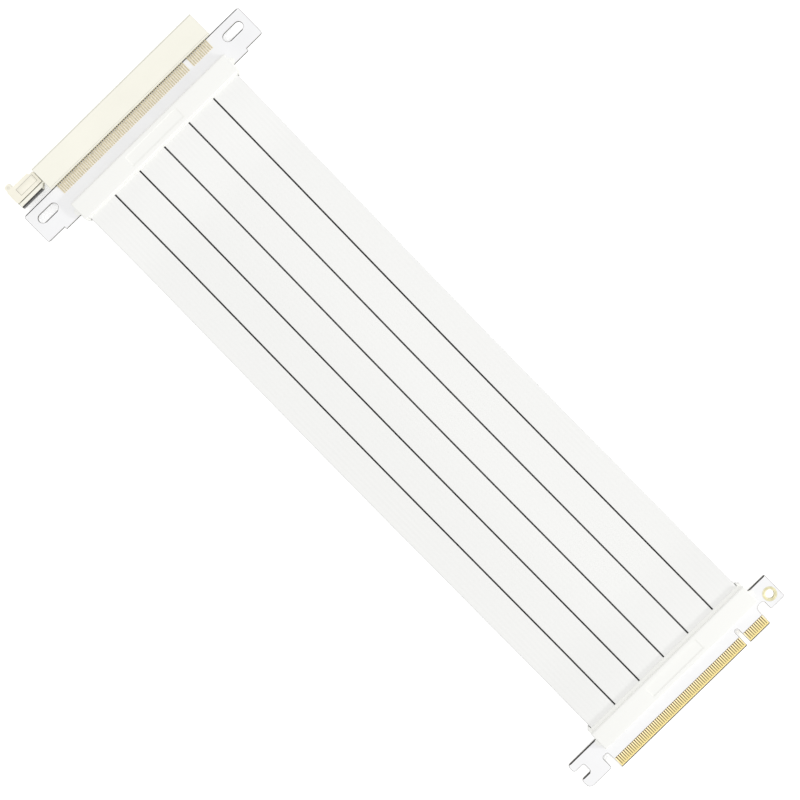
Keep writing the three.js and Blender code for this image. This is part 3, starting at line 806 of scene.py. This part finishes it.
class RISER_OT_contacts(bpy.types.Operator):
    """Set the slot's contacts: springs in the slot, legs that bow down to pads on the board"""
    bl_idname = "riser.contacts"
    bl_label = "Slot contacts"

    def execute(self, context):
        sizes, tones = context.scene.riser_sizes, context.scene.riser_colours
        brass = finish(
            "tinned brass", tones.legs, (1, 0.8), (0.35, 0.5), depth=0.08, patches=900, metallic=0.35,
        )
        plating = finish(
            "leg pads", tones.pale_gold, (1, 0.92), (0.35, 0.5), grain=5000, depth=0.08, patches=700,
            metallic=0.1,
        )
        places = np.concatenate(contact_places())
        # Distance from the mouth, distance from the slot's middle, and width, from spring to foot,
        # of a leg drawn 0.46 mm wide
        drawn_width = 0.46 * MM
        line = np.array([
            [2.5, 1.18, 0.3], [2.9, 1, 0.36], [3.4, 0.9, 0.42], [4, 0.98, 0.46], [5.6, 1.16, 0.46],
            [7.4, 1.1, 0.46], [8.7, 0.96, 0.5], [9.6, 0.96, 0.5], [10.8, 1.14, 0.46],
            [11.7, 1.16, 0.46], [12.2, 1.08, 0.46], [12.7, 0.95, 0.46], [13.1, 0.93, 0.46],
            [15.8, 0.93, 0.46],
        ]) * MM
        widths = line[:, 2] * sizes.leg_width / drawn_width
        # The strip inside the housing that ties a row of legs together
        spare = 0.25 * MM
        carrier = oblong(8.6 * MM, 9.6 * MM, places[-1] - spare, places[0] + spare) + [MOUTH, 0]
        pad = rounded_box(4 * MM, sizes.pad_width, 0.12 * MM, 2)
        spots = np.stack([np.full(len(places), MOUTH + 14 * MM), places], 1)
        for layer, side in LAYERS:
            way = np.stack([MOUTH + line[:, 0], SOCKET_MIDDLE + side * line[:, 1]], 1)
            contacts = strips(way, places, widths, sizes.leg_thickness)
            bar = slabs(carrier, SOCKET_MIDDLE + side * np.array([0.82, 1.08]) * MM, [0, 0])
            piece = make_piece(f"{layer}_contact_row", gather(contacts, bar), [brass])
            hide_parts(f"{layer}_slot_contacts")
            skin = SOCKET_MIDDLE + side * (HALF_BOARD + np.array([-0.02, 0.015, 0.03]) * MM)
            pads = slabs(pad, skin, np.array([0, 0, 0.03]) * MM, spots)
            make_piece(f"{layer}_leg_pads", pads, [plating])
        return {"FINISHED"}


class RISER_OT_boards(bpy.types.Operator):
    """Finish both boards: white lacquer on the faces and bare laminate along the cut edges, its grey
    in part painted shade that outlines the boards
    """
    bl_idname = "riser.boards"
    bl_label = "Boards"

    def execute(self, context):
        sizes, tones = context.scene.riser_sizes, context.scene.riser_colours
        lacquer = finish(
            "white lacquer", tones.mask, (1, 0.975), (0.3, 0.4), grain=1800, depth=0.06, patches=70,
            coat=0.15,
        )
        # The cut laminate goes on walls and rims; its near-black copy is painted shade along the walls
        # that face -X, away from the key lamp
        laminate, shaded = (
            finish(
                name, tones.laminate, shares, (0.6, 0.75), grain=1200, depth=0.3, patches=500,
                stretch=(0.3, 0.3, 8),
            )
            for name, shares in (("cut laminate", (1, 0.45)), ("shaded laminate", (0.16, 0.08)))
        )
        # The socket board has the narrower band of painted shade
        for node, share in (("socket_board", 0.7), ("plug_board", 1)):
            dressed_copy(
                f"{node}_lacquered", node, [lacquer, laminate, shaded], rim=sizes.board_rim,
                shade_rim=share * sizes.shaded_rim,
            )
        return {"FINISHED"}


class RISER_OT_overmoulds(bpy.types.Operator):
    """Mould the two strain reliefs: a rounded block with its sunken panel, the lip over the ribbons,
    the floor under them and the cut-off ears beside them"""
    bl_idname = "riser.overmoulds"
    bl_label = "Overmoulds"

    def execute(self, context):
        sizes, tones = context.scene.riser_sizes, context.scene.riser_colours
        soft = finish(
            "overmould", tones.mould, (1, 0.97), (0.45, 0.58), grain=2200, depth=0.14, patches=40,
        )
        for end, face, way, middle, lip in (
            ("socket", SOCKET_FACE, 1, SOCKET_MIDDLE, sizes.socket_lip),
            ("plug", PLUG_FACE, -1, PLUG_MIDDLE, sizes.plug_lip),
        ):
            node = f"{end}_overmould"
            low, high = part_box(node)
            half, far = high.y, face - way * MOULD_DEPTH
            reach = high.x if way > 0 else low.x
            inner = face - way * 0.5 * MM
            panel = ((face + far) / 2, PANEL_WIDTH, PANEL_LENGTH, sizes.panel_sunk)
            block = rounded_bar(*sorted((face, far)), low.z, high.z, half, sizes.mould_rounding, panel)
            shape = gather(
                block, self.lip(inner, face + way * lip, middle, half),
                self.floor(inner, reach, low.z, middle, half),
                self.anchors(sizes.anchor_radius, far + way * ANCHOR_INSET, middle, half),
                *(self.ear(inner, reach, low.z, middle, side * half) for side in (1, -1)),
            )
            piece = make_piece(f"{end}_strain_relief", shape, [soft])
            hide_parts(node)
        return {"FINISHED"}

    def lip(self, inner, end, middle, half):
        """The low bar over and under the ribbons where they leave the block."""
        under, over = middle - HALF_STACK - 0.3 * MM, middle + HALF_STACK + 0.35 * MM
        return rounded_bar(*sorted((inner, end)), under, over, half - SHOULDER, 0.15 * MM)

    def plate(self, outline, foot, top):
        """A slab whose upper and lower edges are taken off."""
        edge = 0.12 * MM
        return slabs(outline, [foot, foot + edge, top - edge, top], [edge, 0, 0, edge])

    def floor(self, inner, reach, base, middle, half):
        """The flat plate under the ribbons."""
        outline = oblong(inner, reach, SHOULDER - half, half - SHOULDER)
        return self.plate(outline, base + FOOT, middle - HALF_STACK)

    def ear(self, inner, reach, base, middle, end):
        """The block beside the ribbons at one end, with its outer corner cut off."""
        cut, near = 1.2 * MM, abs(end) - SHOULDER - 0.05 * MM
        side, way = np.sign(end), np.sign(reach - inner)
        outline = np.array([
            [inner, side * near], [reach, side * near], [reach, end - side * cut],
            [reach - way * cut, end], [inner, end],
        ])
        return self.plate(outline, base + FOOT, middle + HALF_STACK)

    def anchors(self, radius, x, middle, half):
        """Discs that close the board's anchor holes a little above and below its faces."""
        faces = HALF_BOARD + np.array([0.01, 0.03, 0.09]) * MM
        insets = np.array([0.25, 0, 0.28, 0.28, 0, 0.25]) * MM
        levels = middle + np.concatenate([-faces[::-1], faces])
        return slabs(circle(radius), levels, insets, [[x, half], [x, -half]])


class RISER_OT_fingers(bpy.types.Operator):
    """Plate the gold fingers on both faces of the tongue, over a strip of bare laminate"""
    bl_idname = "riser.fingers"
    bl_label = "Gold fingers"

    def execute(self, context):
        sizes, tones = context.scene.riser_sizes, context.scene.riser_colours
        front = TIP - FINGER_INSET
        root = front - FINGER_LENGTH
        gold = finish(
            "finger gold", tones.finger_root, (1, 1), (0.3, 0.4), grain=6000, depth=0.05, metallic=0.75,
            fade=(root, front - 0.6 * MM, tones.gold),
        )
        bare = finish(
            "finger gaps", tones.gap, (1, 1), (0.6, 0.7), grain=2500, depth=0.2,
            fade=(root + 0.5 * MM, front + 0.3 * MM, darker(tones.gold, 0.6)),
        )
        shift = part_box("upper_short_fingers")[1].y - contact_places()[0][0] - sizes.finger_width / 2
        pad = rounded_box(FINGER_LENGTH, sizes.finger_width, 0.15 * MM)
        rise, sunk = sizes.finger_height, -0.02 * MM
        for layer, side in LAYERS:
            pad_skin, tie_skin, bed_skin = (
                PLUG_MIDDLE + side * (HALF_BOARD + np.array(levels))
                for levels in ([sunk, rise * 0.6, rise], [sunk, rise * 0.5], [sunk, 0.012 * MM])
            )
            for group, row in zip(("short", "long"), contact_places()):
                spots = np.stack([np.full(len(row), (root + front) / 2), row + shift], 1)
                pads = slabs(pad, pad_skin, np.array([0, 0, 0.06]) * MM, spots)
                ends = row[[-1, 0]] + shift + np.array([-1, 1]) * sizes.finger_width / 2
                tie = slabs(oblong(front - 0.5 * MM, front, *ends), tie_skin, [0, 0])
                name = f"{layer}_{group}_finger"
                piece = make_piece(f"{name}_row", gather(pads, tie), [gold])
                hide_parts(f"{name}s")
                bed = slabs(oblong(root - 0.12 * MM, front - 0.1 * MM, *ends), bed_skin, [0, 0])
                make_piece(f"{name}_bed", bed, [bare])
        return {"FINISHED"}


class RISER_OT_ring(bpy.types.Operator):
    """Plate the ring of the plug board's hole: a domed collar on each face and the sleeve between"""
    bl_idname = "riser.ring"
    bl_label = "Hole ring"

    def execute(self, context):
        tones = context.scene.riser_colours
        gold, groove = (
            finish(name, tones.ring, shares, rough, grain=5000, depth=0.08, patches=500, metallic=shine)
            for name, shares, rough, shine in (
                ("ring gold", (1, 0.8), (0.3, 0.45), 0.75),
                ("ring painted shade", (0.66, 0.5), (0.45, 0.6), 0.6),
            )
        )
        low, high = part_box("plug_hole_ring")
        centre = (low + high) / 2
        # Radius and height of half the ring's profile, turned about the hole's axis
        upper = np.array([
            [1.85, 0.0], [1.85, 0.82], [1.95, 0.9], [2.3, 0.9], [2.42, 0.83], [2.6, 0.83], [2.72, 0.88],
            [2.92, 0.88], [3.05, 0.81], [3.0, 0.79], [2.02, 0.79],
        ]) * MM
        profile = np.concatenate([upper, (upper * [1, -1])[:0:-1]])
        # The hole's wall and lip, the groove's floor and the outer edge take a darker copy of the gold:
        # painted shade
        shaded = np.isin(np.arange(len(upper) - 1), [0, 1, 4, 7])
        tags = np.concatenate([shaded, [False], shaded[::-1]]).astype(int)
        turn = np.linspace(0, 2 * math.pi, 64, endpoint=False)[:, None]
        across, up = profile.T
        rings = np.stack([
            centre.x + across * np.cos(turn), centre.y + across * np.sin(turn),
            centre.z + np.broadcast_to(up, (len(turn), len(up))),
        ], -1)
        shape = closed_bodies(rings[None], tags, wrap=True)
        piece = make_piece("plug_hole_plating", shape, [gold, groove])
        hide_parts("plug_hole_ring")
        return {"FINISHED"}


class RISER_OT_wires(bpy.types.Operator):
    """Finish the soldered wire ends inside the overmoulds"""
    bl_idname = "riser.wires"
    bl_label = "Wire ends"

    def execute(self, context):
        tones = context.scene.riser_colours
        copper = finish(
            "wire copper", tones.copper, (1, 0.75), (0.35, 0.5), grain=5000, patches=800, metallic=0.9,
        )
        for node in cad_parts:
            if "_wires_" in node:
                give(node, copper)
        return {"FINISHED"}


class RISER_OT_stage(bpy.types.Operator):
    """Set the pale floor, the sky, the low key lamp and the broad lamp overhead"""
    bl_idname = "riser.stage"
    bl_label = "Stage"

    def execute(self, context):
        stage = context.scene.riser_stage
        material = bpy.data.materials.new("pale floor")
        material.use_nodes = True
        tree = material.node_tree
        shader = fill(tree.nodes["Principled BSDF"], {
            "Base Color": (*stage.floor, 1), "Roughness": 0.9, "Emission Color": (1, 1, 1, 1),
        })
        lift = fill(tree.nodes.new("ShaderNodeMath"), {1: FLOOR_LIFT})
        lift.operation = "MULTIPLY"
        join(
            tree, (self.seen_directly(tree), lift.inputs[0]),
            (lift.outputs[0], shader.inputs["Emission Strength"]),
        )
        mesh = bpy.data.meshes.new("floor")
        corners = oblong(-FLOOR_REACH, FLOOR_REACH, -FLOOR_REACH, FLOOR_REACH)
        mesh.from_pydata([[x, y, -FLOOR_DROP] for x, y in corners.tolist()], [], [[0, 1, 2, 3]])
        mesh.materials.append(material)
        floor = bpy.data.objects.new("floor", mesh)
        context.scene.collection.objects.link(floor)
        self.light_sky(context, stage)
        self.hang_lamp(context, "key lamp", KEY_LAMP_PLACE, KEY_LAMP_SIZE, stage.key)
        self.hang_lamp(context, "top lamp", TOP_LAMP_PLACE, TOP_LAMP_SIZE, stage.top)
        context.scene.view_settings.view_transform = "Standard"
        return {"FINISHED"}

    def seen_directly(self, tree):
        """1 for what the camera, a reflection or a clear part shows, and 0 for what lights."""
        path, *mosts = add_nodes(tree, "LightPath", "Math", "Math")
        either = path.outputs["Is Camera Ray"]
        for most, ray in zip(mosts, ("Is Glossy Ray", "Is Transmission Ray")):
            most.operation = "MAXIMUM"
            join(tree, (either, most.inputs[0]), (path.outputs[ray], most.inputs[1]))
            either = most.outputs[0]
        return either

    def light_sky(self, context, stage):
        world = bpy.data.worlds.new("pale sky")
        world.use_nodes = True
        tree = world.node_tree
        background = fill(tree.nodes["Background"], {"Color": (1, 1, 1, 1)})
        mix = fill(tree.nodes.new("ShaderNodeMix"), {"A": stage.sky, "B": 1})
        join(
            tree, (self.seen_directly(tree), mix.inputs["Factor"]),
            (mix.outputs["Result"], background.inputs["Strength"]),
        )
        context.scene.world = world

    def hang_lamp(self, context, name, place, size, power):
        """A square lamp at a place, turned to the origin: its turn about Z is the place's bearing,
        and its tilt the angle between the way down and the way to the origin."""
        data = bpy.data.lights.new(name, "AREA")
        data.size = size
        data.energy = power
        lamp = bpy.data.objects.new(name, data)
        x, y, z = place
        lamp.location = place
        lamp.rotation_euler = (math.atan2(math.hypot(x, y), z), 0, math.atan2(y, x) + math.pi / 2)
        context.scene.collection.objects.link(lamp)


class RISER_PT_panel(bpy.types.Panel):
    """Sizes, colours and pieces of the riser cable"""
    bl_idname = "RISER_PT_panel"
    bl_label = "Riser cable"
    bl_space_type = "VIEW_3D"
    bl_region_type = "UI"
    bl_category = "Riser cable"

    def draw(self, context):
        for name, kind in GROUPS:
            box = self.layout.box()
            for prop in kind.__annotations__:
                box.prop(getattr(context.scene, name), prop)
        for operator in OPERATORS:
            self.layout.operator(operator.bl_idname)


OPERATORS = (
    RISER_OT_camera, RISER_OT_ribbons, RISER_OT_housing, RISER_OT_latch, RISER_OT_contacts,
    RISER_OT_boards, RISER_OT_overmoulds, RISER_OT_fingers, RISER_OT_ring, RISER_OT_wires,
    RISER_OT_stage,
)
GROUPS = (("riser_sizes", RiserSizes), ("riser_colours", RiserColours), ("riser_stage", RiserStage))


def register():
    for name, group in GROUPS:
        bpy.utils.register_class(group)
        setattr(bpy.types.Scene, name, PointerProperty(type=group))
    for cls in (*OPERATORS, RISER_PT_panel):
        bpy.utils.register_class(cls)


def unregister():
    for cls in (RISER_PT_panel, *reversed(OPERATORS)):
        bpy.utils.unregister_class(cls)
    for name, group in GROUPS:
        delattr(bpy.types.Scene, name)
        bpy.utils.unregister_class(group)


def main():
    register()
    for operator in OPERATORS:
        kind, name = operator.bl_idname.split(".")
        getattr(getattr(bpy.ops, kind), name)()


if __name__ == "__main__":
    main()
